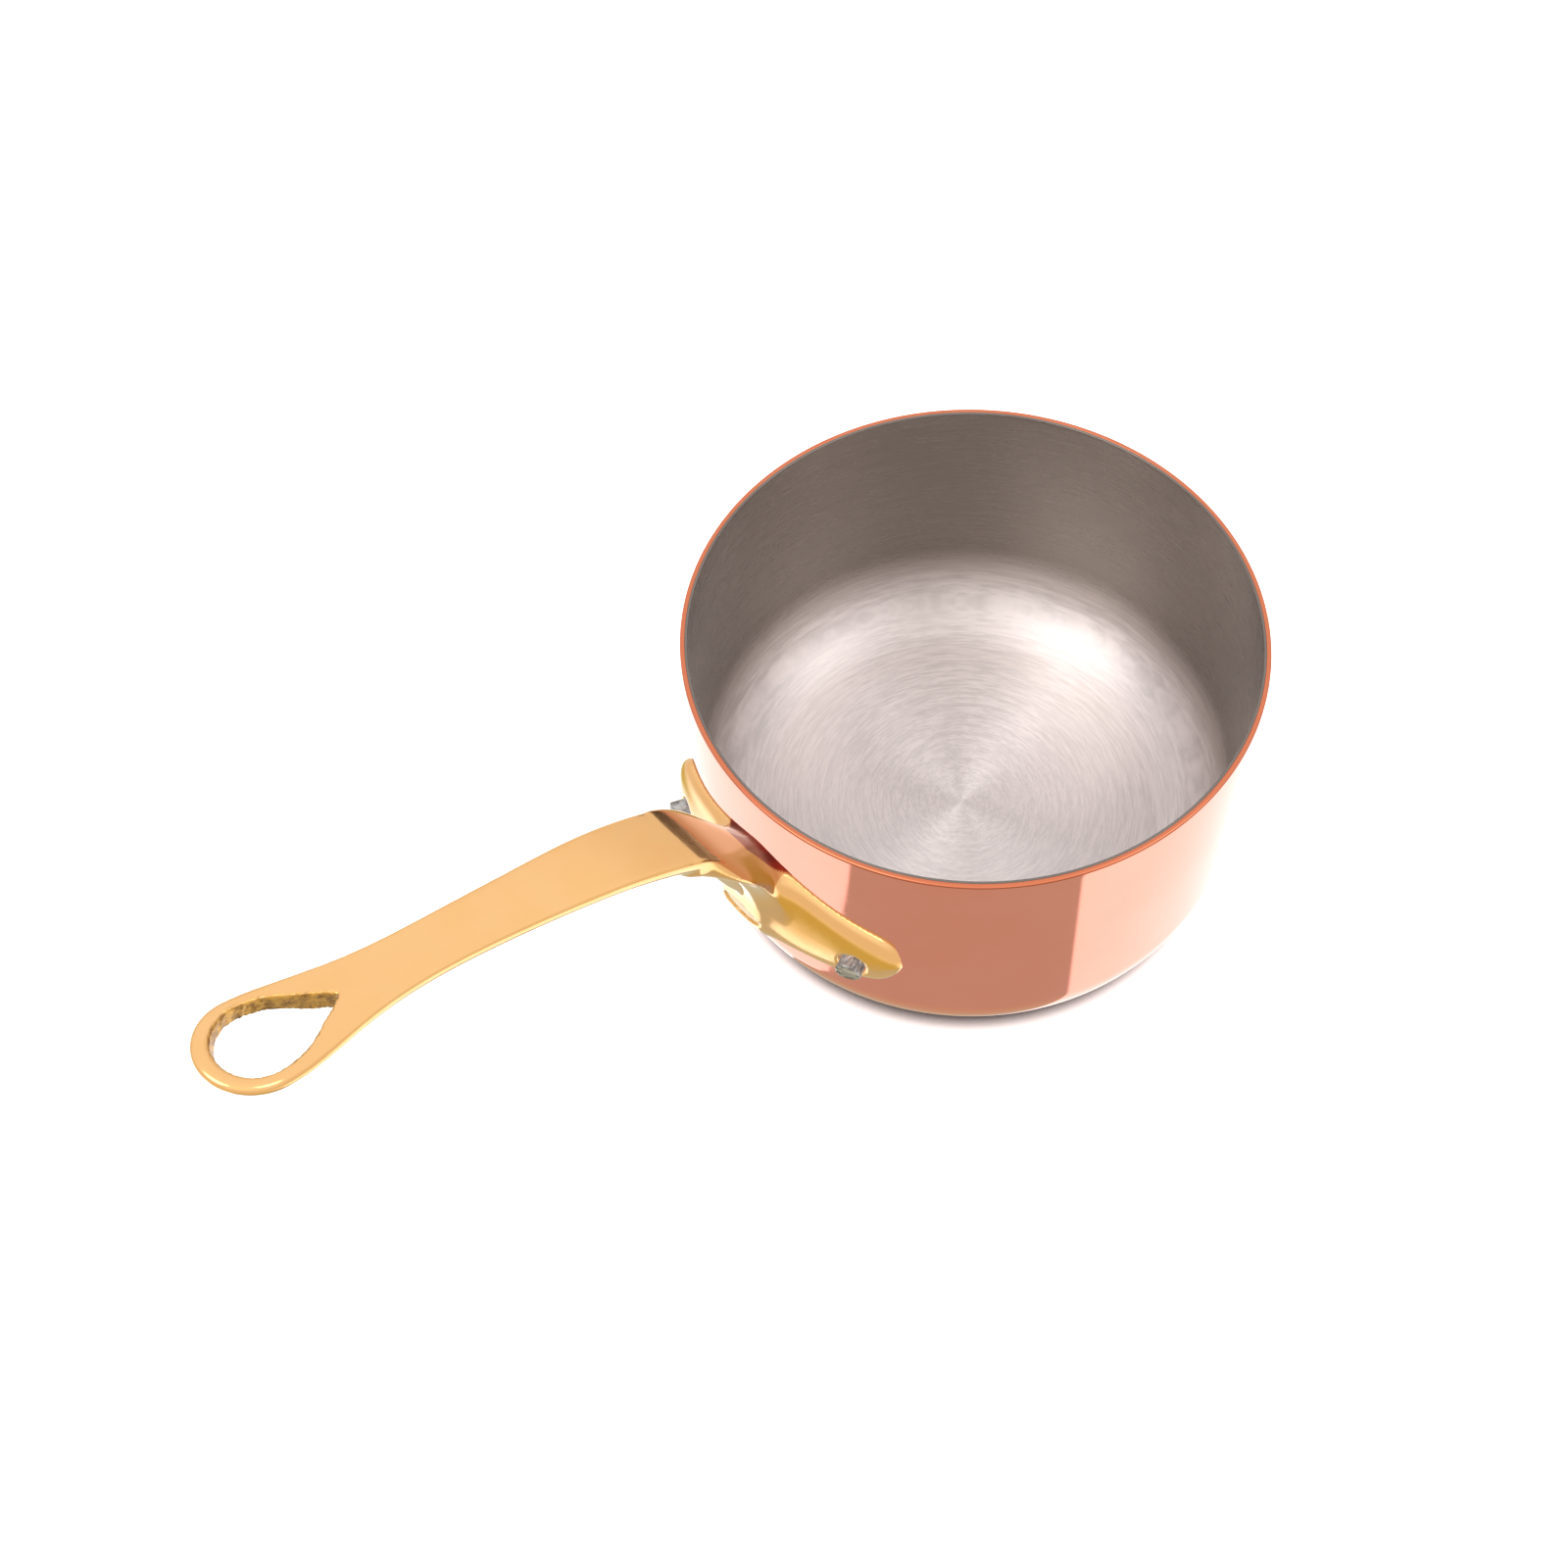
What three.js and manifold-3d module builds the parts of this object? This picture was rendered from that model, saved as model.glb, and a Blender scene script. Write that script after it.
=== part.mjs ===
// A 90 mm copper saucepan: a copper shell with a bonded steel lining, and a
// cast brass handle held to the wall by two steel rivets.
// Millimetres. The origin is the centre of the flat base, +Z is up, and the
// handle points along +X, so the pan is mirrored about the XZ plane.
import * as THREE from 'three';
import { mergeVertices } from 'three/addons/utils/BufferGeometryUtils.js';
import Module from 'manifold-3d';

// ---- driving dimensions ----
const panRadius = 45; // outside of the wall
const panHeight = 51; // base to rim
const cornerRadius = 12.5; // outside, between base and wall
const copperThickness = 0.9;
const bondGap = 0.05; // between copper and steel
const steelThickness = 0.25;
const rimRound = 0.3;
const fitGap = 0.3; // between a piece and its neighbour
const roundSegments = 72;
const cornerSteps = 3;

const loopCentre = 123.9; // of the round end of the hanging loop
const loopRadius = 7.2;
const handleEnd = loopCentre + loopRadius;
const holeTip = 112.2; // pointed end of the hanging hole
const holeCentre = 123.4;
const holeRadius = 5.3;
const edgeThickness = 1.7; // of the shaft along its two sides
const crestX = 50; // where the shaft turns over above the flange
const flangeRadius = 47.6; // outer face of the flange wings
const flangeTop = 39.9; // on the wall, under the handle
const flangeBottom = 20.4;
const flangeTip = { y: 24.8, z: 27.2 };
const rootFace = 49.3; // outer face of the root, at the oval
const ovalHeight = 25.5; // middle of the blank oval recess under the shaft
const ovalSize = { width: 7.9, height: 4.6, depth: 0.4 };

const rivetAngle = 23.4; // degrees either side of the handle
const rivetHeight = 25.5;
const rivetRadius = 2;
const rivetTail = 49.8; // outer end of the tail, from the pan's axis
const rivetHeadRadius = 3.5;
const rivetHeadHeight = 1.1;
const rivetSegments = 20;

const inWall = panRadius - 2; // where a cut or a solid starts, inside the wall
const clearOfAll = handleEnd; // long enough to pass right through any piece

const steelOutside = panRadius - copperThickness - bondGap;
const steelInside = steelOutside - steelThickness;

const wasm = await Module();
wasm.setup();

// ---- helpers ----
const rad = THREE.MathUtils.degToRad;

// A closed solid from any closed three.js geometry.
function solid(geometry) {
  const bare = geometry.clone();
  bare.deleteAttribute('normal');
  bare.deleteAttribute('uv');
  const merged = mergeVertices(bare, 1e-4);
  const index = merged.index.array;
  const triangles = [];
  for (let i = 0; i < index.length; i += 3) {
    const [a, b, c] = [index[i], index[i + 1], index[i + 2]];
    if (a !== b && b !== c && c !== a) triangles.push(a, b, c);
  }
  const mesh = new wasm.Mesh({
    numProp: 3,
    vertProperties: Float32Array.from(merged.attributes.position.array),
    triVerts: Uint32Array.from(triangles),
  });
  return new wasm.Manifold(mesh);
}

// The three.js geometry of a finished solid.
function toGeometry(manifold) {
  const mesh = manifold.getMesh();
  const geometry = new THREE.BufferGeometry();
  geometry.setAttribute('position', new THREE.BufferAttribute(mesh.vertProperties, 3));
  geometry.setIndex(new THREE.BufferAttribute(mesh.triVerts, 1));
  geometry.computeVertexNormals();
  return geometry;
}

// A profile of radius and height turned about +Z.
function turned(path, steps, segments = roundSegments) {
  return new THREE.LatheGeometry(path.getPoints(steps), segments).rotateX(Math.PI / 2);
}

// A shape drawn in X and Z, as thick as width, centred on Y = 0.
function sideCut(shape, width, steps) {
  const options = { depth: width, bevelEnabled: false, curveSegments: steps };
  return new THREE.ExtrudeGeometry(shape, options).rotateX(Math.PI / 2).translate(0, width / 2, 0);
}

// A shape drawn in X and Y, from the ground up to the given height.
function planCut(shape, height, steps) {
  const options = { depth: height, bevelEnabled: false, curveSegments: steps };
  return new THREE.ExtrudeGeometry(shape, options);
}

// A cylinder along +X from one radius to another, at a rivet's place.
function radialCylinder(side, radius, inner, outer) {
  const length = outer - inner;
  return new THREE.CylinderGeometry(radius, radius, length, rivetSegments)
    .rotateZ(-Math.PI / 2)
    .translate(inner + length / 2, 0, rivetHeight)
    .rotateZ(rad(side * rivetAngle));
}

function withoutRivetHoles(body) {
  const holeRadius = rivetRadius + fitGap;
  return [1, -1].reduce(
    (rest, side) => rest.subtract(solid(radialCylinder(side, holeRadius, panRadius - 10, panRadius + 15))),
    body,
  );
}

// ---- pan ----

// One layer of the pan wall: outer radius and base height, and its thickness.
function bowlLayer(outside, bottom, thickness, round) {
  const corner = cornerRadius - (panRadius - outside);
  const inside = outside - thickness;
  const innerCorner = corner - thickness;
  const centre = outside - corner;
  const path = new THREE.Path();
  path.moveTo(0, bottom);
  path.lineTo(centre, bottom);
  path.absarc(centre, bottom + corner, corner, -Math.PI / 2, 0, false);
  path.lineTo(outside, panHeight - round);
  path.lineTo(outside - round, panHeight);
  path.lineTo(inside, panHeight);
  path.lineTo(inside, bottom + corner);
  path.absarc(centre, bottom + corner, innerCorner, 0, -Math.PI / 2, true);
  path.lineTo(0, bottom + thickness);
  return withoutRivetHoles(solid(turned(path, cornerSteps)));
}

function copperShell() {
  return bowlLayer(panRadius, 0, copperThickness, rimRound);
}

function steelLining() {
  return bowlLayer(steelOutside, copperThickness + bondGap, steelThickness, steelThickness / 4);
}

// ---- handle ----

// Stations along the shaft: distance from the pan's axis, then half width,
// height of the top face, and thickness on the centre line.
const stations = [
  [crestX, 5.2, 48.6, 9],
  [52, 5.6, 51.6, 8],
  [54, 5.75, 54.1, 6.8],
  [57, 5.8, 57.2, 5.6],
  [60, 5.78, 59.6, 4.9],
  [65, 5.65, 63.2, 4.5],
  [70, 5.4, 66.3, 4.3],
  [77, 5.05, 69.8, 4.1],
  [85, 4.6, 73.2, 4],
  [94, 4.25, 76.7, 4],
  [102, 4.2, 79.4, 4],
  [110, 4.85, 81.8, 4.1],
  [117, 6.3, 83.9, 4.3],
  [loopCentre, 7.3, 86.2, 4.4],
  [handleEnd + 1, 7.3, 89, 4],
];

const stationTable = new THREE.CubicInterpolant(
  stations.map((station) => station[0]),
  stations.flatMap((station) => station.slice(1)),
  3,
  new Float32Array(3),
);

// A slab bent to the stations: flat on top, thin at its two sides, and bowed
// out underneath. It is a little wider than the finished shaft.
function bentSlab() {
  const [lengthSteps, widthSteps, spare] = [36, 6, 0.4];
  const start = crestX;
  const end = handleEnd + 1;
  const slab = new THREE.BoxGeometry(1, 2, 1, lengthSteps, widthSteps, 1);
  const position = slab.attributes.position;
  for (let i = 0; i < position.count; i += 1) {
    const along = (position.getX(i) + 0.5) ** 1.3;
    const across = position.getY(i);
    const x = start + (end - start) * along;
    const [halfWidth, top, centre] = stationTable.evaluate(x);
    const bow = Math.sqrt(1 - Math.min(1, across ** 2));
    const thickness = edgeThickness + (centre - edgeThickness) * bow;
    const z = position.getZ(i) > 0 ? top : top - thickness;
    position.setXYZ(i, x, across * (halfWidth + spare), z);
  }
  return slab;
}

// The root in side view: its inner face leans away from the wall up to the
// crest, and its outer face runs down over the middle of the flange.
function rootProfile() {
  const shape = new THREE.Shape();
  shape.moveTo(inWall, flangeBottom + 0.6);
  shape.lineTo(rootFace - 1.1, flangeBottom + 0.6);
  shape.splineThru([
    new THREE.Vector2(rootFace, 24),
    new THREE.Vector2(49.6, 31),
    new THREE.Vector2(51.4, 39.5),
    new THREE.Vector2(55, 47.4),
  ]);
  shape.lineTo(54, 53.6);
  shape.lineTo(crestX + 0.8, 49.5);
  shape.lineTo(crestX - 0.3, 48.4);
  shape.lineTo(46.6, 41);
  shape.lineTo(inWall, 38);
  return shape;
}

// The handle from above: a tapering shaft that opens out into the loop.
function handlePlan() {
  const blendX = loopCentre - 2.7;
  const blendY = Math.sqrt(loopRadius ** 2 - (blendX - loopCentre) ** 2);
  const near = [new THREE.Vector2(inWall, 6.6)]
    .concat(stations.slice(0, 13).map((station) => new THREE.Vector2(station[0], station[1])));
  const far = near.map((point) => new THREE.Vector2(point.x, -point.y)).reverse();
  const turn = Math.atan2(blendY, blendX - loopCentre);
  const shape = new THREE.Shape();
  shape.moveTo(blendX, -blendY);
  shape.splineThru(far);
  shape.lineTo(near[0].x, near[0].y);
  shape.splineThru(near.slice(1).concat(new THREE.Vector2(blendX, blendY)));
  shape.absarc(loopCentre, 0, loopRadius, turn, -turn, true);
  shape.holes.push(hangingHole());
  return shape;
}

// A drop: a round end, with two bowed sides that meet at the tip.
function hangingHole() {
  const hole = new THREE.Path();
  hole.moveTo(holeTip, 0);
  hole.bezierCurveTo(115.5, -2.3, 118.6, -holeRadius, holeCentre, -holeRadius);
  hole.absarc(holeCentre, 0, holeRadius, -Math.PI / 2, Math.PI / 2, false);
  hole.bezierCurveTo(118.6, holeRadius, 115.5, 2.3, holeTip, 0);
  return hole;
}

// The flange seen along the handle: a long curved shield with blunt, rounded tips.
function flangeOutline() {
  const { y, z } = flangeTip;
  const shape = new THREE.Shape();
  shape.moveTo(0, flangeTop);
  shape.quadraticCurveTo(10, flangeTop - 1.2, y - 2.6, z + 4.8);
  shape.quadraticCurveTo(y + 0.2, z + 3.6, y, z);
  shape.quadraticCurveTo(y - 0.6, z - 3.8, y - 3.4, z - 5.2);
  shape.quadraticCurveTo(18, flangeBottom, 12, flangeBottom);
  shape.lineTo(-12, flangeBottom);
  shape.quadraticCurveTo(-18, flangeBottom, 3.4 - y, z - 5.2);
  shape.quadraticCurveTo(0.6 - y, z - 3.8, -y, z);
  shape.quadraticCurveTo(-y - 0.2, z + 3.6, 2.6 - y, z + 4.8);
  shape.quadraticCurveTo(-10, flangeTop - 1.2, 0, flangeTop);
  return shape;
}

function flange() {
  const ring = new THREE.Path();
  ring.moveTo(inWall, flangeBottom - 1);
  ring.lineTo(flangeRadius, flangeBottom - 1);
  ring.lineTo(flangeRadius, panHeight);
  ring.lineTo(inWall, panHeight);
  ring.lineTo(inWall, flangeBottom - 1);
  const options = { depth: panRadius, bevelEnabled: false, curveSegments: 6 };
  const outline = new THREE.ExtrudeGeometry(flangeOutline(), options)
    .rotateX(Math.PI / 2)
    .rotateZ(Math.PI / 2)
    .translate(panRadius / 2, 0, 0);
  return solid(turned(ring, 1)).intersect(solid(outline));
}

// A blank oval, cut a little way into the root's outer face.
function ovalRecess() {
  const { width, height, depth } = ovalSize;
  const cutter = 4;
  return new THREE.CylinderGeometry(0.5, 0.5, cutter, 20)
    .rotateZ(Math.PI / 2)
    .scale(1, width, height)
    .translate(rootFace + cutter / 2 - depth, 0, ovalHeight);
}

function wallClearance() {
  const path = new THREE.Path();
  path.moveTo(0, -1);
  path.lineTo(panRadius + fitGap, -1);
  path.lineTo(panRadius + fitGap, clearOfAll);
  path.lineTo(0, clearOfAll);
  return turned(path, 1);
}

function brassHandle() {
  const plan = solid(planCut(handlePlan(), clearOfAll, 5));
  const root = solid(sideCut(rootProfile(), panRadius, 3));
  const shaft = solid(bentSlab()).add(root).intersect(plan);
  const casting = shaft
    .add(flange())
    .subtract(solid(wallClearance()))
    .subtract(solid(ovalRecess()));
  return withoutRivetHoles(casting);
}

// ---- rivets ----

// Turned about its own axis, then laid along +X: the head is inside the pan,
// and the tail stands out of the flange.
function rivet(side) {
  const seat = Math.sqrt(steelInside ** 2 - rivetHeadRadius ** 2) - fitGap;
  const path = new THREE.Path();
  path.moveTo(0, seat - rivetHeadHeight);
  path.quadraticCurveTo(rivetHeadRadius, seat - rivetHeadHeight, rivetHeadRadius, seat);
  path.lineTo(rivetRadius, seat);
  path.lineTo(rivetRadius, rivetTail - rimRound);
  path.lineTo(rivetRadius - rimRound, rivetTail);
  path.lineTo(0, rivetTail);
  const shape = new THREE.LatheGeometry(path.getPoints(4), rivetSegments)
    .rotateZ(-Math.PI / 2)
    .translate(0, 0, rivetHeight)
    .rotateZ(rad(side * rivetAngle));
  return solid(shape);
}

// ---- assembly ----
const copper = { color: 0xd98e6c, roughness: 0.08, metalness: 1 };
const steel = { color: 0xb9b3ac, roughness: 0.35, metalness: 1 };
const brass = { color: 0xe8b45c, roughness: 0.15, metalness: 1 };
const rivetSteel = { color: 0x9a9a9a, roughness: 0.5, metalness: 1 };

function part(name, manifold, finish) {
  const mesh = new THREE.Mesh(toGeometry(manifold), new THREE.MeshStandardMaterial(finish));
  mesh.name = name;
  return mesh;
}

const saucepan = new THREE.Group();
saucepan.add(part('copper_shell', copperShell(), copper));
saucepan.add(part('steel_lining', steelLining(), steel));
saucepan.add(part('brass_handle', brassHandle(), brass));
saucepan.add(part('rivet_left', rivet(1), rivetSteel));
saucepan.add(part('rivet_right', rivet(-1), rivetSteel));

export default saucepan;
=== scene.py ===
# A small copper saucepan: a polished copper shell with a brushed steel lining,
# and a cast brass handle held by two steel rivets. Shapes are worked out in
# millimetres, in the frame's own axes, and written to the meshes in metres.
import math
from itertools import product

import bpy
import numpy as np
from mathutils import Matrix, Vector


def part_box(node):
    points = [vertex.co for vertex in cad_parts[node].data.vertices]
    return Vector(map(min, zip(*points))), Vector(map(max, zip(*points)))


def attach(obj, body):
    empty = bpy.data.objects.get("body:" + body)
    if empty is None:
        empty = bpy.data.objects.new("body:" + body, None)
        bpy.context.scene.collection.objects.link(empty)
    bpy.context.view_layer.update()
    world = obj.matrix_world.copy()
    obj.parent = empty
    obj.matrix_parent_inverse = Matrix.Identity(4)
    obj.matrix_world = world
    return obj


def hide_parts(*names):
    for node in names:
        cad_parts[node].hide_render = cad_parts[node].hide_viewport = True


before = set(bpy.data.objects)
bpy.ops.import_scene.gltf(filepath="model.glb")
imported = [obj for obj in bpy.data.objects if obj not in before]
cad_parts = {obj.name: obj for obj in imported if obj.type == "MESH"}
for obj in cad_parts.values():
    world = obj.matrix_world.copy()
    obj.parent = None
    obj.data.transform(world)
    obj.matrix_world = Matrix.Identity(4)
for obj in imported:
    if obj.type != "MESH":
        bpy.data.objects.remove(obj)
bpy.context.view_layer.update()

MM = 0.001


def high_corner(node):
    """The highest corner of a CAD node, in millimetres."""
    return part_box(node)[1] / MM


# ---- sizes, in millimetres ----
PAN_RADIUS = high_corner("copper_shell").x
PAN_HEIGHT = high_corner("copper_shell").z
HANDLE_END = high_corner("brass_handle").x
HANDLE_TOP = high_corner("brass_handle").z
CORNER_RADIUS = 12.5
COPPER_THICKNESS = 0.75
STEEL_THICKNESS = 0.4
LINING_RADIUS = PAN_RADIUS - COPPER_THICKNESS
ROUND_SEGMENTS = 288

# The shaft and its loop
LOOP_RADIUS = 7.2
LOOP_X = HANDLE_END - LOOP_RADIUS
EDGE_THICKNESS = 1.7
TOP_CROWN = 0.22
SHAFT_EDGE_ROUND = 0.55
LOOP_EDGE_ROUND = 0.95
CREVICE_X = 49.1
CREVICE_HALF_WIDTH = 2.3
HOLE_RADIUS = 5.3
HOLE_X = LOOP_X - 0.5
HOLE_LUMPS = 0.035

# The boss and the neck between the shaft and the flange
BOSS_HALF_WIDTH = 4.6
BOSS_DROP = 2.2
NECK_FLARE = 3
NECK_DEPTH = 1.6

# The flange, by distance round the wall and height
FLANGE_EDGE = 1.6
FLANGE_FOOT = 20.3
FLANGE_CROWN = 2.0
FLANGE_CROWN_RUN = 1.4
FLANGE_TAPER = 0.03
FLANGE_REACH = 26.1
FLANGE_TIP_ROUND = 4.4
WALL_SEAT = PAN_RADIUS + 0.02
OVAL_HEIGHT = 25.5
OVAL_WIDTH = 7.9
OVAL_TALL = 4.6
OVAL_DEPTH = 0.5
CASTING_STEP = 0.34

# The rivets: tails end at these distances from the pan's axis
RIVET_ANGLE = math.radians(23.4)
RIVET_HEIGHT = 25.5
RIVET_RADIUS = 2.05
RIVET_HOLE = 2.35
HEAD_RADIUS = 3.5
HEAD_HEIGHT = 1.1
HEAD_RIM = 0.15
TAIL_ROUND = 0.3
LEFT_TAIL = 49.7
RIGHT_TAIL = 50.3


# ---- curves and fields ----
class Profile:
    """A smooth curve through a few points: its height and its slope at any place along it."""

    def __init__(self, *points):
        x, y = np.array(points, float).T
        gap = np.diff(x)
        rise = np.diff(y) / gap
        size = len(x)
        system = np.eye(size)
        right = np.zeros(size)
        for i in range(1, size - 1):
            system[i, i - 1 : i + 2] = gap[i - 1], 2 * (gap[i - 1] + gap[i]), gap[i]
            right[i] = 6 * (rise[i] - rise[i - 1])
        bend = np.linalg.solve(system, right)
        self.x = np.linspace(x[0], x[-1], 4000)
        i = np.clip(np.searchsorted(x, self.x) - 1, 0, size - 2)
        t = (self.x - x[i]) / gap[i]
        straight = y[i] * (1 - t) + y[i + 1] * t
        curved = bend[i] * ((1 - t) ** 3 - (1 - t)) + bend[i + 1] * (t**3 - t)
        self.y = straight + curved * gap[i] ** 2 / 6
        self.dy = np.gradient(self.y, self.x)

    def at(self, x):
        return np.interp(x, self.x, self.y)

    def above(self, x, y):
        """How far y is above the curve at x, measured square to the curve."""
        return (y - self.at(x)) / np.sqrt(1 + np.interp(x, self.x, self.dy) ** 2)


def joined(a, b, fillet):
    """The field of two solids joined with a fillet."""
    near = np.maximum(fillet - np.abs(a - b), 0) / fillet
    return np.minimum(a, b) - near**3 * fillet / 6


def trimmed(a, b, radius):
    """The field of what two solids share, with the edge between them rounded."""
    corner = np.hypot(np.maximum(a + radius, 0), np.maximum(b + radius, 0))
    return np.minimum(-radius, np.maximum(a, b)) + corner


def smooth_step(x, start, end):
    t = np.clip((x - start) / (end - start), 0, 1)
    return t * t * (3 - 2 * t)


# ---- the casting ----
TOP_FACE = Profile(
    (43, 37),
    (45, 39.9),
    (CREVICE_X, 45.9),
    (51.6, 49.5),
    (54.2, 53.2),
    (57, 56.8),
    (60, 59.6),
    (65, 63.2),
    (70, 66.3),
    (77, 69.8),
    (85, 73.2),
    (94, 76.7),
    (102, 79.4),
    (110, 81.8),
    (117, 83.9),
    (LOOP_X, 86.2),
    (HANDLE_END + 1, 88.7),
)
HALF_WIDTH = Profile(
    (43, 1.6),
    (CREVICE_X, CREVICE_HALF_WIDTH),
    (51.5, 3.6),
    (54.2, 4.9),
    (57, 5.6),
    (60, 5.75),
    (65, 5.62),
    (77, 5.05),
    (85, 4.6),
    (94, 4.25),
    (102, 4.2),
    (110, 4.88),
    (117.4, 6.35),
    (121, 7),
    (LOOP_X, LOOP_RADIUS),
    (HANDLE_END, 6.9),
)
CENTRE_THICKNESS = Profile(
    (44, 9),
    (52, 8),
    (57, 5.6),
    (62, 4.7),
    (77, 4.1),
    (110, 4.1),
    (HANDLE_END + 1, 4.3),
)
HOLE_HALF_WIDTH = Profile(
    (110, -3),
    (112.2, 0),
    (114.5, 1.65),
    (116.4, 2.8),
    (118.5, 4.1),
    (120.9, 5),
    (HOLE_X, HOLE_RADIUS),
    (126, 5),
)
ROOT_FACE = Profile((18, 46.6), (21, 48.2), (24, 49.15), (31, 49.5), (39.5, 51.4), (47.4, 55), (56, 62))
FLANGE_TOP = Profile((-9.5, 37.4), (0, 39.8), (9.5, 37.4), (16.2, 34.7), (21.7, 32.6), (29, 29.6))
FLANGE_BOTTOM = Profile((-14, 20.3), (0, 20.3), (14, 20.35), (20.3, 21.1), (24.3, 22.4), (29, 24.6))


def shaft_plan(x, y):
    """The handle's outline from above: a tapering strip that ends in a round loop."""
    strip = np.abs(y) - HALF_WIDTH.at(x)
    disc = np.hypot(x - LOOP_X, y) - LOOP_RADIUS
    return np.where(x < LOOP_X, strip, disc)


def crevice(x, y):
    """Below zero on the steep end of the shaft's top, between its narrowest place and the wall."""
    return np.maximum(x - CREVICE_X, np.abs(y) - CREVICE_HALF_WIDTH - (CREVICE_X - x))


def blade(x, y, z):
    """The shaft: nearly flat on top, thin at its sides and bowed out underneath."""
    plan = shaft_plan(x, y)
    share = np.clip(1 + plan / HALF_WIDTH.at(x), 0, 1.2)
    height = TOP_FACE.above(x, z)
    top = height + TOP_CROWN * share**2
    bow = np.maximum(1 - share**3, 0)
    thickness = EDGE_THICKNESS + (CENTRE_THICKNESS.at(x) - EDGE_THICKNESS) * bow
    bottom = -height - thickness
    edge = SHAFT_EDGE_ROUND + (LOOP_EDGE_ROUND - SHAFT_EDGE_ROUND) * smooth_step(x, 112, 122)
    return trimmed(trimmed(top, plan, edge), bottom, 0.5)


def root(x, y, z, radius):
    """The boss under the shaft, down the middle of the flange."""
    cap = TOP_FACE.above(x, z) + BOSS_DROP
    side = np.abs(y) - BOSS_HALF_WIDTH
    return trimmed(trimmed(ROOT_FACE.above(z, radius), side, 1.2), cap, 1)


def neck(x, y, z, radius):
    """The shaft's sides flare out above the flange, and run down into its wings."""
    top = TOP_FACE.above(x, z)
    flare = NECK_FLARE * (1 - smooth_step(x, 52, 60))
    spread = flare * NECK_DEPTH * np.tanh(np.maximum(-top, 0) / NECK_DEPTH)
    side = (np.abs(y) - HALF_WIDTH.at(x) - spread) / np.sqrt(1 + flare**2)
    outer = ROOT_FACE.above(z, radius) + 0.5
    return trimmed(trimmed(top + 0.15, side, 0.3), outer, 1.2)


def flange(along, radius, z):
    """A shield that follows the wall, crowned in the middle and thinner toward its top."""
    upper = FLANGE_TOP.above(along, z)
    lower = -FLANGE_BOTTOM.above(along, z)
    outline = trimmed(trimmed(upper, lower, 2), along - FLANGE_REACH, FLANGE_TIP_ROUND)
    crown = FLANGE_CROWN * (1 - np.exp(np.minimum(outline, 0) / FLANGE_CROWN_RUN))
    taper = 1 - FLANGE_TAPER * (z - FLANGE_FOOT)
    return trimmed(outline, radius - PAN_RADIUS - (FLANGE_EDGE + crown) * taper, 0.6)


def hanging_hole(x, y):
    """Below zero inside the drop-shaped opening of the loop."""
    side = (np.abs(y) - HOLE_HALF_WIDTH.at(x)) / np.sqrt(1.4)
    disc = np.hypot(x - HOLE_X, y) - HOLE_RADIUS
    return np.where(x < HOLE_X, side, disc)


def oval_recess(x, y, z):
    """Below zero inside the oval that is sunk into the boss."""
    oval = (np.hypot(y / OVAL_WIDTH, (z - OVAL_HEIGHT) / OVAL_TALL) - 0.5) * OVAL_TALL
    return np.maximum(oval, PAN_RADIUS + FLANGE_EDGE - x)


def cast_roughness(x, y, z):
    """Small lumps as left by the sand mould, under a tenth of a millimetre."""
    crossed = np.sin(3.9 * x + 2 * z) * np.sin(4.3 * y - 1.1 * z)
    return HOLE_LUMPS * (crossed + np.sin(6.1 * x - 5.2 * y + 3.3 * z))


def rivet_distance(x, y, z):
    """Distance from the nearer rivet's axis."""
    sideways = np.abs(y) * math.cos(RIVET_ANGLE) - x * math.sin(RIVET_ANGLE)
    return np.hypot(sideways, z - RIVET_HEIGHT)


def casting(x, y, z):
    """The whole handle: the shaft, the boss and the flange, with their openings and their seat."""
    radius = np.hypot(x, y)
    along = PAN_RADIUS * np.arctan2(np.abs(y), x)
    shaft = joined(blade(x, y, z), neck(x, y, z, radius), 0.6)
    shaft = joined(shaft, root(x, y, z, radius), 3)
    body = joined(shaft, flange(along, radius, z), 4)
    body = trimmed(body, WALL_SEAT - radius, 0.25)
    body = np.maximum(body, np.minimum(body + OVAL_DEPTH, -oval_recess(x, y, z)))
    body = trimmed(body, RIVET_HOLE - rivet_distance(x, y, z), 0.25)
    hole_edge = 0.25 + 0.6 * smooth_step(x, 121, 127)
    hole = hanging_hole(x, y) + cast_roughness(x, y, z)
    return trimmed(body, -hole, hole_edge)


# ---- meshes ----
def surface_net(field, low, high, step):
    """Points near the surface where the field is zero, and the quads that join them."""
    axes = [np.arange(a - step, b + 2 * step, step) for a, b in zip(low, high)]
    inside = field(*np.meshgrid(*axes, indexing="ij", sparse=True)) < 0
    nx, ny, nz = (n - 1 for n in inside.shape)
    corners = product((0, 1), repeat=3)
    count = sum(inside[i : nx + i, j : ny + j, k : nz + k].astype(np.int8) for i, j, k in corners)
    mixed = (count > 0) & (count < 8)
    index = np.full(mixed.shape, -1)
    index[mixed] = np.arange(mixed.sum())
    points = (np.argwhere(mixed) + 0.5) * step + [a[0] for a in axes]
    quads = []
    for axis in range(3):
        here = np.moveaxis(inside, axis, 0)
        cells = np.moveaxis(index, axis, 0)
        near, far = here[:-1, 1:-1, 1:-1], here[1:, 1:-1, 1:-1]
        a, b, c = np.nonzero(near != far)
        ring = np.stack([cells[a, b, c], cells[a, b + 1, c], cells[a, b + 1, c + 1], cells[a, b, c + 1]], 1)
        forward = near[a, b, c] != (axis == 1)
        quads.append(np.where(forward[:, None], ring, ring[:, ::-1]))
    return points, np.concatenate(quads)


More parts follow.
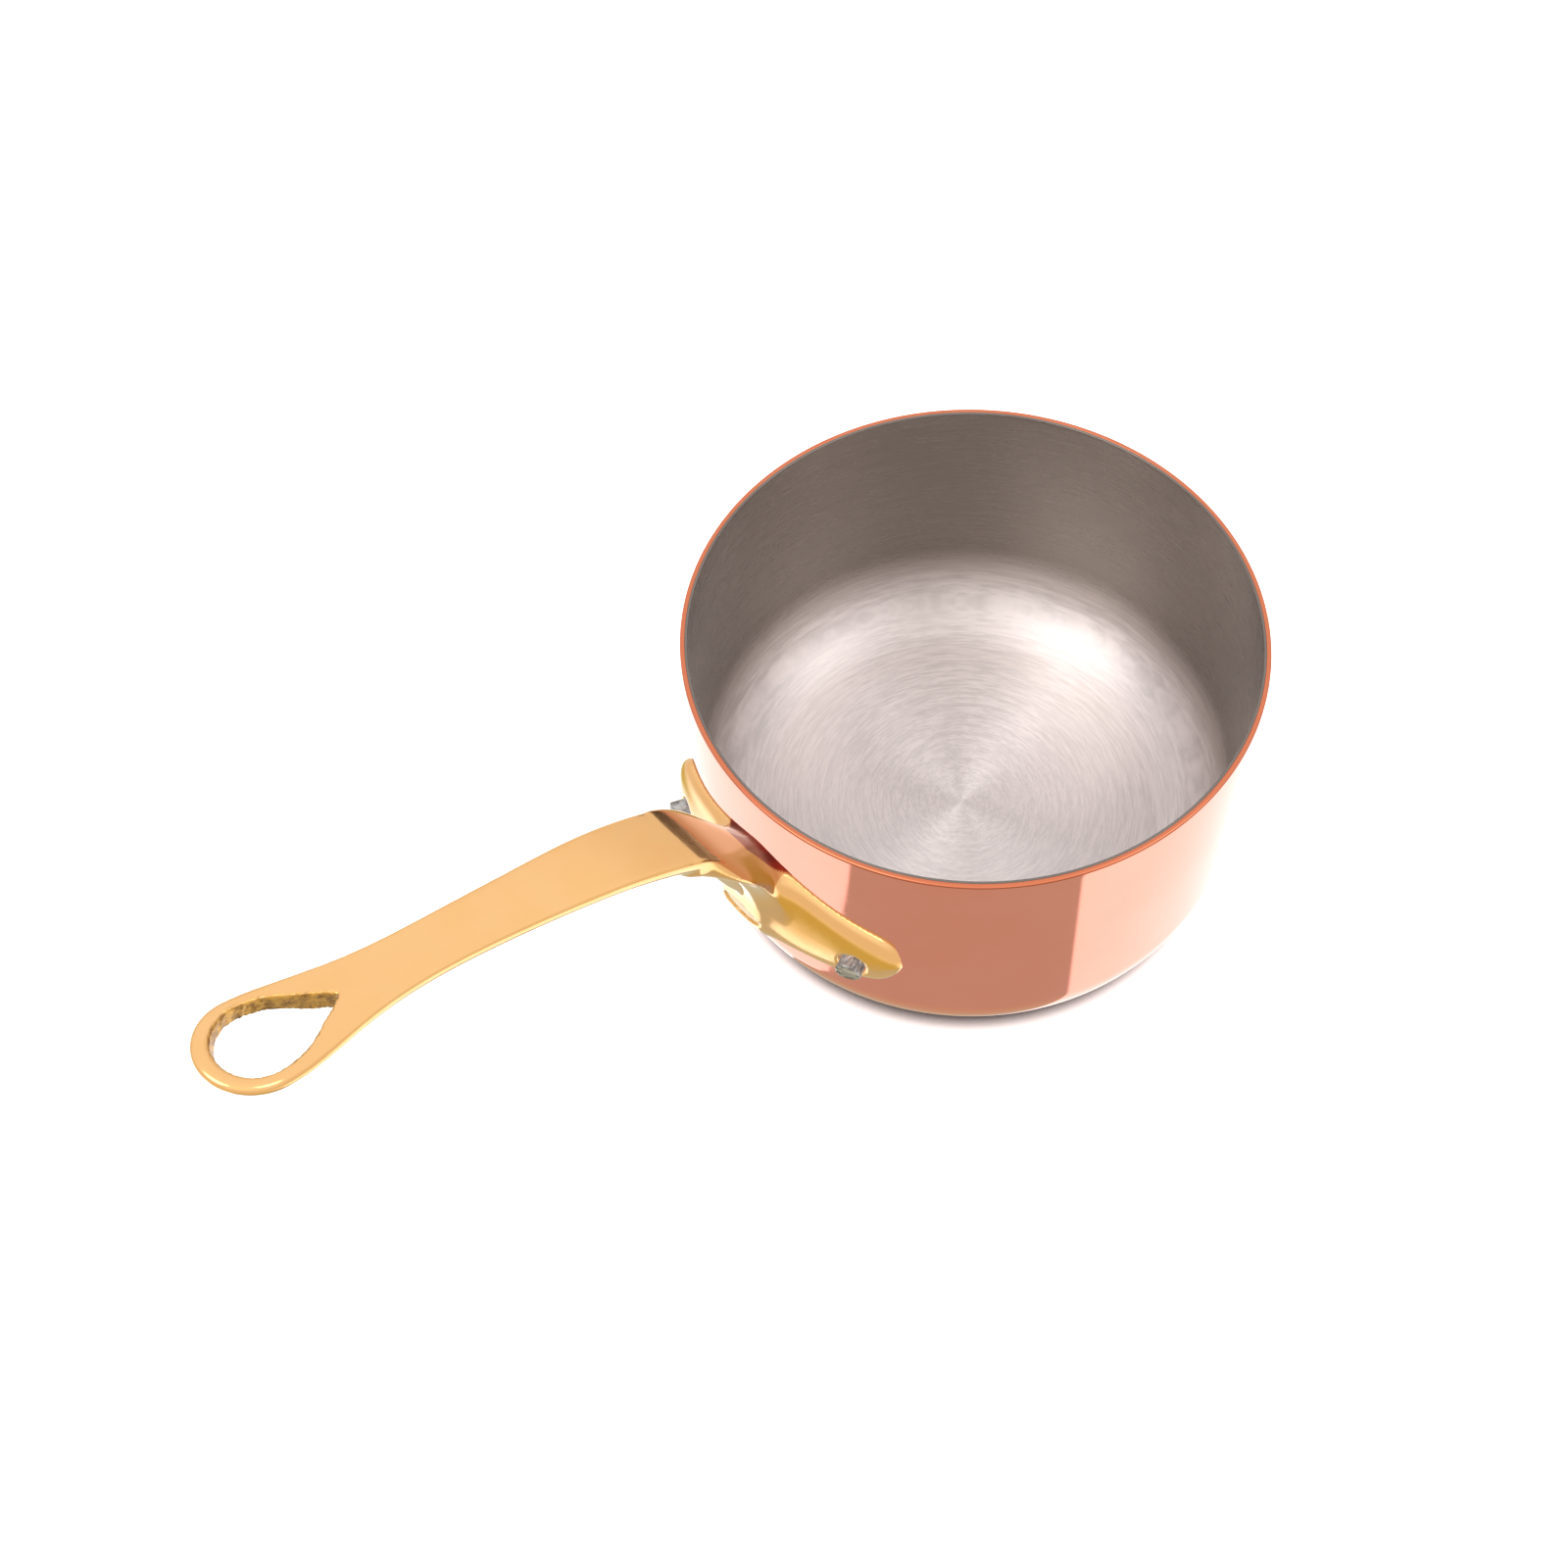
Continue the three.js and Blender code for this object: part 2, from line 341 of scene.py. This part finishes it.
def slope_of(field, points, gap=0.01):
    columns = []
    for axis in range(3):
        shift = np.zeros(3)
        shift[axis] = gap
        columns.append(field(*(points + shift).T) - field(*(points - shift).T))
    return np.stack(columns, 1) / (2 * gap)


def onto_surface(field, points, longest):
    """Each point moved square to the surface, until the field there is zero."""
    slope = slope_of(field, points)
    move = -slope * (field(*points.T) / np.maximum((slope**2).sum(1), 0.05))[:, None]
    length = np.linalg.norm(move, axis=1, keepdims=True)
    return points + move * np.minimum(1, longest / np.maximum(length, 1e-9))


def neighbour_average(points, quads):
    ends = np.concatenate([quads[:, [i, (i + 1) % 4]] for i in range(4)])
    count = np.bincount(ends[:, 0], minlength=len(points)) + np.bincount(ends[:, 1], minlength=len(points))
    total = [
        np.bincount(ends[:, 0], points[ends[:, 1], k], len(points))
        + np.bincount(ends[:, 1], points[ends[:, 0], k], len(points))
        for k in range(3)
    ]
    return np.stack(total, 1) / count[:, None]


def field_surface(field, low, high, step):
    """An even quad mesh that lies on the surface of a field."""
    points, quads = surface_net(field, low, high, step)
    for _ in range(5):
        points = onto_surface(field, points, step / 2)
        points += 0.6 * (neighbour_average(points, quads) - points)
    for _ in range(3):
        points = onto_surface(field, points, step / 2)
    return points, quads


def new_piece(name, points, faces, slot, *nodes):
    """A smooth mesh object, made from millimetres, that stands for some CAD nodes."""
    mesh = bpy.data.meshes.new(name)
    mesh.from_pydata((np.asarray(points) * MM).tolist(), [], [list(map(int, f)) for f in faces])
    mesh.polygons.foreach_set("use_smooth", [True] * len(mesh.polygons))
    mesh.update()
    piece = bpy.data.objects.new(name, mesh)
    bpy.context.scene.collection.objects.link(piece)
    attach(piece, "root")
    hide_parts(*nodes)
    return piece


def arc(centre, radius, start, end, steps):
    """Points on part of a circle, angles in degrees, as radius and height."""
    angles = np.radians(np.linspace(start, end, steps + 1))
    return [(centre[0] + radius * math.cos(a), centre[1] + radius * math.sin(a)) for a in angles]


def line(start, end, steps):
    """Points along a straight line, closer together at its ends, without its ends."""
    t = (1 - np.cos(np.pi * np.arange(1, steps) / steps)) / 2
    return [(start[0] + (end[0] - start[0]) * k, start[1] + (end[1] - start[1]) * k) for k in t]


def turned(profile, segments):
    """The mesh of a closed profile turned about +Z. The profile's two ends are on the axis."""
    rings = np.array(profile[1:-1])
    turn = 2 * np.pi * np.arange(segments) / segments
    round_points = np.stack(
        [
            np.outer(rings[:, 0], np.cos(turn)),
            np.outer(rings[:, 0], np.sin(turn)),
            np.repeat(rings[:, 1:], segments, 1),
        ],
        -1,
    ).reshape(-1, 3)
    poles = [(0, 0, profile[0][1]), (0, 0, profile[-1][1])]
    faces = []
    for k in range(segments):
        after = (k + 1) % segments
        faces.append((0, 2 + after, 2 + k))
        for i in range(len(rings) - 1):
            low, high = 2 + i * segments, 2 + (i + 1) * segments
            faces.append((low + k, low + after, high + after, high + k))
        last = 2 + (len(rings) - 1) * segments
        faces.append((1, last + k, last + after))
    return np.concatenate([poles, round_points]), faces


# ---- pan ----
def bowl_profile(outside, bottom, thickness, outer_round, inner_round):
    """One layer of the pan, from the middle of its underside round to the middle of its floor."""
    corner = CORNER_RADIUS - (PAN_RADIUS - outside)
    flat = outside - corner
    height = bottom + corner
    inside = outside - thickness
    top = PAN_HEIGHT
    profile = [(0, bottom)] + line((0, bottom), (flat, bottom), 10)
    profile += arc((flat, height), corner, -90, 0, 40)
    profile += line((outside, height), (outside, top - outer_round), 10)
    profile += arc((outside - outer_round, top - outer_round), outer_round, 0, 90, 10)
    profile += arc((inside + inner_round, top - inner_round), inner_round, 90, 180, 6)
    profile += line((inside, top - inner_round), (inside, height), 10)
    profile += arc((flat, height), corner - thickness, 0, -90, 40)
    profile += line((flat, bottom + thickness), (0, bottom + thickness), 16)
    return profile + [(0, bottom + thickness)]


def copper_shell():
    profile = bowl_profile(PAN_RADIUS, 0, COPPER_THICKNESS, outer_round=0.3, inner_round=0.1)
    points, faces = turned(profile, ROUND_SEGMENTS)
    return new_piece("copper_shell_polished", points, faces, "copper", "copper_shell")


def steel_lining():
    bottom = COPPER_THICKNESS
    profile = bowl_profile(LINING_RADIUS, bottom, STEEL_THICKNESS, outer_round=0.06, inner_round=0.12)
    points, faces = turned(profile, ROUND_SEGMENTS)
    return new_piece("steel_lining_brushed", points, faces, "brushed_lining", "steel_lining")


# ---- handle ----
def mark_points(piece, name, values):
    """Stores one number per point, for the material to read."""
    piece.data.attributes.new(name, "FLOAT", "POINT").data.foreach_set("value", values)


def brass_handle():
    half = high_corner("brass_handle").y + 3
    low = (PAN_RADIUS - 6, -half, 19)
    high = (HANDLE_END, half, HANDLE_TOP)
    points, quads = field_surface(casting, low, high, CASTING_STEP)
    piece = new_piece("brass_handle_cast", points, quads, "brass", "brass_handle")
    piece.visible_glossy = False
    x, y, z = points.T
    hole = 1 - smooth_step(np.abs(hanging_hole(x, y)), 0.12, 0.3)
    oval = 0.6 - 0.6 * smooth_step(oval_recess(x, y, z), -0.2, 0.1)
    mark_points(piece, "as_cast", np.maximum(hole, oval))
    # Marks the crevice, where the brass material paints a dark red reflection of the copper wall, and
    # shade.
    above_flange = smooth_step(z, 37.5, 38.5)
    mark_points(piece, "crevice", above_flange * (1 - smooth_step(crevice(x, y), -0.15, 0.15)))
    return piece


# ---- rivets ----
def rivet_profile(tail_end):
    """Half of a rivet's section, from the top of its head to the end of its tail."""
    seat = LINING_RADIUS - STEEL_THICKNESS - 0.3
    shank = seat + HEAD_RIM
    neck_of_tail = tail_end - TAIL_ROUND
    slopes = np.radians(np.arange(8, 90, 8))
    profile = [(0, seat - HEAD_HEIGHT)]
    profile += [(HEAD_RADIUS * math.sin(a), seat - HEAD_HEIGHT * math.cos(a)) for a in slopes]
    profile += [(HEAD_RADIUS, seat), (HEAD_RADIUS - 0.2, shank), (RIVET_RADIUS, shank)]
    profile += line((RIVET_RADIUS, shank), (RIVET_RADIUS, neck_of_tail), 10)
    profile += arc((RIVET_RADIUS - TAIL_ROUND, neck_of_tail), TAIL_ROUND, 0, 90, 6)
    profile += [(RIVET_RADIUS - TAIL_ROUND - 0.1 * i, tail_end) for i in range(1, 17)]
    return profile + [(0, tail_end)]


def shear_marks(x, y, side):
    """How far the cut end of a tail is below its highest place."""
    slant = 0.28 * smooth_step(0.8 * x + 0.6 * y, 0.1, 1.9) + 0.12 * smooth_step(-x, 0.3, 1.6)
    coarse = 0.05 * np.sin(5.2 * x + 2.4 * y + side) * np.sin(4.1 * y - 1.3 * x)
    fine = 0.03 * np.sin(11 * y + 3 * x)
    return slant + np.abs(coarse + fine)


def rivet(side, tail_end, name, node):
    """A domed head inside the pan, and a sheared, slanted tail outside it."""
    points, faces = turned(rivet_profile(tail_end), 64)
    x, y, along = points.T
    points[:, 2] -= smooth_step(along, tail_end - 1.5, tail_end) * shear_marks(x, y, side)
    place = Matrix.Rotation(side * RIVET_ANGLE, 3, "Z") @ Matrix.Rotation(math.pi / 2, 3, "Y")
    points = points @ np.array(place).T + [0, 0, RIVET_HEIGHT]
    piece = new_piece(name, points, faces, "rivet_steel", node)
    piece.visible_glossy = False
    return piece


# ---- materials ----
def node(tree, kind, inputs, output=0, **settings):
    """Adds a shader node, sets its fields and inputs, and returns one of its outputs."""
    made = tree.nodes.new("ShaderNode" + kind)
    for name, value in settings.items():
        setattr(made, name, value)
    for key, value in inputs.items():
        if isinstance(value, bpy.types.NodeSocket):
            tree.links.new(value, made.inputs[key])
        else:
            made.inputs[key].default_value = value
    return made.outputs[output]


def maths(tree, operation, *values):
    return node(tree, "Math", dict(enumerate(values)), operation=operation)


def ramp(tree, value, low, high, start=0.0, end=1.0):
    """value from low..high to start..end, smooth and clamped."""
    inputs = {"Value": value, "From Min": low, "From Max": high, "To Min": start, "To Max": end}
    return node(tree, "MapRange", inputs, interpolation_type="SMOOTHSTEP")


def mixed_colour(tree, factor, a, b):
    """Colour a where the factor is 0, colour b where it is 1."""
    return node(tree, "Mix", {0: factor, 6: a, 7: b}, output=2, data_type="RGBA")


def noise(tree, vector, scale, detail=2.0, roughness=0.5):
    inputs = {"Vector": vector, "Scale": scale, "Detail": detail, "Roughness": roughness}
    return node(tree, "TexNoise", inputs)


def bump(tree, height, strength, distance, below=None):
    inputs = {"Height": height, "Strength": strength, "Distance": distance}
    if below is not None:
        inputs["Normal"] = below
    return node(tree, "Bump", inputs)


def new_material(name):
    material = bpy.data.materials.new(name)
    material.use_nodes = True
    tree = material.node_tree
    return material, tree, tree.nodes["Principled BSDF"]


def set_shader(tree, shader, **values):
    for name, value in values.items():
        socket = shader.inputs[name.replace("_", " ")]
        if isinstance(value, bpy.types.NodeSocket):
            tree.links.new(value, socket)
        else:
            socket.default_value = value


def object_point(tree):
    return node(tree, "TexCoord", {}, output=3)


def seen_in_a_mirror(tree):
    """1 where a surface is seen by way of another glossy one, else 0."""
    return node(tree, "LightPath", {}).node.outputs["Is Glossy Ray"]


def copper_material():
    """Mirror-polished copper with a cut edge at the rim and a thin line of painted shade just under its
    top, and a painted reflection colour: paler where another piece mirrors it.
    """
    material, tree, shader = new_material("polished_copper")
    point = object_point(tree)
    cloud = ramp(tree, noise(tree, point, 60, 3), 0.3, 0.7)
    polished = mixed_colour(tree, cloud, (0.955, 0.34, 0.235, 1), (0.965, 0.365, 0.26, 1))
    height = node(tree, "SeparateXYZ", {0: point}).node.outputs[2]
    rim = ramp(tree, height, (PAN_HEIGHT - 0.42) * MM, (PAN_HEIGHT - 0.22) * MM)
    below_top = ramp(tree, height, (PAN_HEIGHT - 0.12) * MM, (PAN_HEIGHT - 0.2) * MM)
    # Painted shade: a thin dark line just under the rim's top stands in for the shade of a crevice. The cut
    # edge colour stays at the very top.
    painted_shade_line = maths(tree, "MULTIPLY", rim, below_top)
    cut = mixed_colour(tree, painted_shade_line, (0.72, 0.22, 0.11, 1), (0.3, 0.075, 0.03, 1))
    # Painted reflection colour: where another piece mirrors the copper, its colour is painted paler.
    painted_reflection_pale = maths(tree, "MULTIPLY", seen_in_a_mirror(tree), 0.8)
    polished = mixed_colour(tree, painted_reflection_pale, polished, (0.66, 0.52, 0.44, 1))
    colour = mixed_colour(tree, rim, polished, cut)
    fine = noise(tree, point, 900, 2)
    sheen = ramp(tree, fine, 0.3, 0.75, 0.035, 0.07)
    roughness = maths(tree, "ADD", sheen, maths(tree, "MULTIPLY", rim, 0.15))
    wave = bump(tree, noise(tree, point, 28, 1), 0.12, 0.0006)
    set_shader(tree, shader, Base_Color=colour, Metallic=1.0, Roughness=roughness, Normal=wave)
    return material


def brass_material():
    """Polished brass, left raw in its loop and its oval, with a painted dark red reflection of the copper
    wall, and shade, in the crevice.
    """
    material, tree, shader = new_material("cast_brass")
    point = object_point(tree)
    cast = node(tree, "Attribute", {}, output=2, attribute_name="as_cast")
    cloud = ramp(tree, noise(tree, point, 120, 3), 0.3, 0.7)
    polished = mixed_colour(tree, cloud, (0.97, 0.56, 0.215, 1), (0.975, 0.585, 0.24, 1))
    grime = ramp(tree, noise(tree, point, 900, 4, 0.7), 0.35, 0.65)
    raw = mixed_colour(tree, grime, (0.32, 0.15, 0.03, 1), (0.8, 0.45, 0.1, 1))
    colour = mixed_colour(tree, cast, polished, raw)
    # Painted reflection and shade: the brass in the crevice is painted dark red, standing in for the copper
    # wall mirrored in the narrow gap.
    painted_reflection_mask = node(tree, "Attribute", {}, output=2, attribute_name="crevice")
    painted_red_mottle = ramp(tree, noise(tree, point, 260, 2), 0.35, 0.65)
    dark = mixed_colour(tree, painted_red_mottle, (0.2, 0.012, 0.004, 1), (0.4, 0.035, 0.012, 1))
    colour = mixed_colour(tree, painted_reflection_mask, colour, dark)
    haze = ramp(tree, noise(tree, point, 700, 3), 0.3, 0.7, 0.09, 0.15)
    roughness = maths(tree, "ADD", haze, maths(tree, "MULTIPLY", cast, 0.3))
    wave = bump(tree, noise(tree, point, 60, 1), 0.15, 0.0005)
    pits = bump(tree, noise(tree, point, 1100, 3), maths(tree, "MULTIPLY", cast, 0.8), 0.0003, wave)
    set_shader(tree, shader, Base_Color=colour, Metallic=1.0, Roughness=roughness, Normal=pits)
    set_shader(tree, shader, Coat_Weight=0.4, Coat_Roughness=0.05)
    return material


def lining_material():
    """Steel brushed in rings round the pan's axis, with painted shade that makes it darker on its wall than
    on its floor.
    """
    material, tree, shader = new_material("brushed_steel")
    point = object_point(tree)
    x, y, height = node(tree, "SeparateXYZ", {0: point}).node.outputs
    squares = maths(tree, "ADD", maths(tree, "POWER", x, 2.0), maths(tree, "POWER", y, 2.0))
    radius = maths(tree, "SQRT", squares)
    across = maths(tree, "SUBTRACT", radius, height)
    stretch = maths(tree, "DIVIDE", 0.002, maths(tree, "MAXIMUM", radius, 0.0005))
    around = maths(tree, "MULTIPLY", x, stretch), maths(tree, "MULTIPLY", y, stretch)
    ring = node(tree, "CombineXYZ", {0: across, 1: around[0], 2: around[1]})
    lines = noise(tree, ring, 5200, 2, 0.6)
    coarse = noise(tree, ring, 1500, 2, 0.6)
    streaks = maths(tree, "ADD", maths(tree, "MULTIPLY", lines, 0.5), maths(tree, "MULTIPLY", coarse, 0.5))
    bright = ramp(tree, streaks, 0.35, 0.65)
    colour = mixed_colour(tree, bright, (0.71, 0.655, 0.635, 1), (0.92, 0.85, 0.825, 1))
    # Painted shade: the wall is painted dark, strongly on direct sight and weakly where another surface
    # mirrors it.
    wall = ramp(tree, height, 4 * MM, 17 * MM)
    darkening = maths(tree, "MULTIPLY_ADD", seen_in_a_mirror(tree), -0.6, 0.86)
    shade = maths(tree, "MULTIPLY", wall, darkening)
    colour = mixed_colour(tree, shade, colour, (0.14, 0.12, 0.096, 1))
    edge = ramp(tree, height, (PAN_HEIGHT - 0.25) * MM, (PAN_HEIGHT - 0.1) * MM)
    roughness = ramp(tree, streaks, 0.3, 0.7, 0.4, 0.5)
    roughness = maths(tree, "SUBTRACT", roughness, maths(tree, "MULTIPLY", wall, 0.2))
    roughness = maths(tree, "SUBTRACT", roughness, maths(tree, "MULTIPLY", edge, 0.05))
    grain = bump(tree, streaks, 0.2, 0.00004)
    tangent = node(tree, "Tangent", {}, direction_type="RADIAL", axis="Z")
    set_shader(tree, shader, Base_Color=colour, Metallic=1.0, Roughness=roughness, Normal=grain)
    set_shader(tree, shader, Tangent=tangent, Anisotropic=0.85, Anisotropic_Rotation=0.25)
    return material


def rivet_material():
    """Steel with the scores of the shears across it."""
    material, tree, shader = new_material("sheared_steel")
    squeezed = node(tree, "VectorMath", {0: object_point(tree), 1: (1, 1, 4)}, operation="MULTIPLY")
    scores = noise(tree, squeezed, 420, 4, 0.7)
    bare = ramp(tree, scores, 0.35, 0.62)
    colour = mixed_colour(tree, bare, (0.15, 0.145, 0.14, 1), (0.6, 0.59, 0.57, 1))
    roughness = ramp(tree, scores, 0.3, 0.7, 0.5, 0.32)
    rough = bump(tree, scores, 0.6, 0.00025)
    set_shader(tree, shader, Base_Color=colour, Metallic=1.0, Roughness=roughness, Normal=rough)
    return material


# ---- stage ----
def floor():
    """White paper with a narrow shadow where the pan stands on it. Nothing mirrors it."""
    size = 4
    corners = [(-size, -size, 0), (size, -size, 0), (size, size, 0), (-size, size, 0)]
    mesh = bpy.data.meshes.new("floor")
    mesh.from_pydata(corners, [], [(0, 1, 2, 3)])
    sheet = bpy.data.objects.new("floor", mesh)
    bpy.context.scene.collection.objects.link(sheet)
    material, tree, shader = new_material("white_paper")
    openness = node(tree, "AmbientOcclusion", {"Distance": 0.005}, output=1, samples=16)
    shadow = ramp(tree, openness, 0.34, 0.8)
    colour = mixed_colour(tree, shadow, (0.03, 0.03, 0.03, 1), (0.92, 0.92, 0.92, 1))
    set_shader(tree, shader, Base_Color=colour, Roughness=0.9)
    mesh.materials.append(material)
    sheet.visible_glossy = False


def patch(tree, direction, azimuth, elevation, inner, outer):
    """1 within inner degrees of a direction, fading to 0 at outer degrees."""
    turn, rise = math.radians(azimuth), math.radians(elevation)
    centre = (math.cos(turn) * math.cos(rise), math.sin(turn) * math.cos(rise), math.sin(rise))
    near = node(tree, "VectorMath", {0: direction, 1: centre}, output=1, operation="DOT_PRODUCT")
    return ramp(tree, near, math.cos(math.radians(outer)), math.cos(math.radians(inner)))


def degrees_round(tree, x, y):
    """The azimuth of a flat direction, in degrees."""
    return maths(tree, "DEGREES", maths(tree, "ARCTAN2", y, x))


def lit_room(tree, direction, height):
    """White below, warm at eye level, near white above, with lights high on three sides."""
    room = mixed_colour(tree, ramp(tree, height, -42, -26), (1.5, 1.5, 1.5, 1), (0.86, 0.78, 0.7, 1))
    room = mixed_colour(tree, ramp(tree, height, -5, 30), room, (1.0, 0.98, 1.0, 1))
    room = mixed_colour(tree, ramp(tree, height, 45, 70), room, (1.08, 1.06, 1.08, 1))
    lights = [
        (50, 60, 14, 32, (1.2, 1.15, 1.1, 1)),
        (-12, 57, 11, 23, (3.3, 3.25, 3.2, 1)),
        (122, 54, 8, 18, (2.7, 2.65, 2.6, 1)),
    ]
    for azimuth, elevation, inner, outer, colour in lights:
        room = mixed_colour(tree, patch(tree, direction, azimuth, elevation, inner, outer), room, colour)
    return room


def with_dark_panel(tree, room, direction, height):
    """A dark panel low on one side, which a wall of the pan mirrors as an upright band.

    Its azimuth is taken after a sideways shift of the direction, which brings it near the azimuth
    of the place on the wall that mirrors it. The left edge leans, by an amount that grows as the
    direction nears straight down.
    """
    shifted = node(tree, "VectorMath", {0: direction, 1: (0.33, 0.363, 0)}, operation="ADD")
    shifted = node(tree, "VectorMath", {0: shifted, 1: (1, 1, 0)}, operation="MULTIPLY")
    parts = node(tree, "SeparateXYZ", {0: shifted}).node.outputs
    wall_azimuth = degrees_round(tree, parts[0], parts[1])
    square = node(tree, "VectorMath", {0: shifted, 1: shifted}, output=1, operation="DOT_PRODUCT")
    ahead = node(tree, "VectorMath", {0: shifted, 1: (0.66, 0.725, 0)}, output=1, operation="DOT_PRODUCT")
    upright = maths(tree, "DIVIDE", square, maths(tree, "MAXIMUM", ahead, 0.01))
    upper_lean = ramp(tree, upright, 0.92, 1.01, 6, 0)
    lower_lean = ramp(tree, upright, 0.55, 0.92, 8, 0)
    left = maths(tree, "ADD", wall_azimuth, maths(tree, "ADD", upper_lean, lower_lean))
    panel = maths(tree, "MULTIPLY", ramp(tree, left, 21.2, 22.2), ramp(tree, wall_azimuth, 72.2, 71.2))
    panel = maths(tree, "MULTIPLY", panel, ramp(tree, height, -40, -48))
    depth = ramp(tree, upright, 0.82, 0.94)
    tint = mixed_colour(tree, depth, (0.6, 0.57, 0.42, 1), (0.578, 0.573, 0.5, 1))
    return mixed_colour(tree, panel, room, tint)


def with_gold_band(tree, room, azimuth, height):
    """A gold band low round two sides, which deepens the flange's colour."""
    beside = maths(tree, "MULTIPLY", ramp(tree, azimuth, -34, -14), ramp(tree, azimuth, 100, 60))
    beyond = maths(tree, "MULTIPLY", ramp(tree, azimuth, -66, -80), ramp(tree, azimuth, -160, -130))
    sides = maths(tree, "ADD", beside, beyond)
    across = maths(tree, "MULTIPLY", ramp(tree, height, -56, -48), ramp(tree, height, -26, -40))
    return mixed_colour(tree, maths(tree, "MULTIPLY", sides, across), room, (0.64, 0.55, 0.2, 1))


def studio():
    """The room that glossy surfaces mirror. It is plain white to the camera, and lights the floor."""
    world = bpy.data.worlds.new("studio")
    bpy.context.scene.world = world
    world.use_nodes = True
    tree = world.node_tree
    direction = node(tree, "TexCoord", {})
    parts = node(tree, "SeparateXYZ", {0: direction}).node.outputs
    azimuth = degrees_round(tree, parts[0], parts[1])
    height = maths(tree, "DEGREES", maths(tree, "ARCSINE", parts[2]))
    room = lit_room(tree, direction, height)
    room = with_dark_panel(tree, room, direction, height)
    room = with_gold_band(tree, room, azimuth, height)
    rays = node(tree, "LightPath", {}).node.outputs
    shown = mixed_colour(tree, rays["Is Camera Ray"], room, (1, 1, 1, 1))
    shown = mixed_colour(tree, rays["Is Diffuse Ray"], shown, (3, 3, 3, 1))
    tree.links.new(shown, tree.nodes["Background"].inputs["Color"])


def camera():
    """Looks down over the near rim, a little rolled, with the handle to the left."""
    target = Vector((0.0396, 0.0003, PAN_HEIGHT * MM))
    azimuth = math.radians(50.5)
    elevation = math.radians(57.915)
    distance = 0.31335
    roll = math.radians(-3.558)
    level = math.cos(elevation)
    away = Vector((math.cos(azimuth) * level, math.sin(azimuth) * level, math.sin(elevation)))
    data = bpy.data.cameras.new("camera")
    data.sensor_width = 36
    data.lens = 49.12
    shot = bpy.data.objects.new("camera", data)
    bpy.context.scene.collection.objects.link(shot)
    turn = (-away).to_track_quat("-Z", "Y").to_matrix() @ Matrix.Rotation(roll, 3, "Z")
    shot.matrix_world = Matrix.Translation(target + away * distance) @ turn.to_4x4()
    bpy.context.scene.camera = shot


def assemble():
    pieces = {
        copper_shell(): copper_material(),
        steel_lining(): lining_material(),
        brass_handle(): brass_material(),
        rivet(1, LEFT_TAIL, "rivet_left_sheared", "rivet_left"): rivet_material(),
        rivet(-1, RIGHT_TAIL, "rivet_right_sheared", "rivet_right"): rivet_material(),
    }
    for piece, material in pieces.items():
        piece.data.materials.append(material)


assemble()
floor()
studio()
camera()
bpy.context.scene.view_settings.view_transform = "Standard"
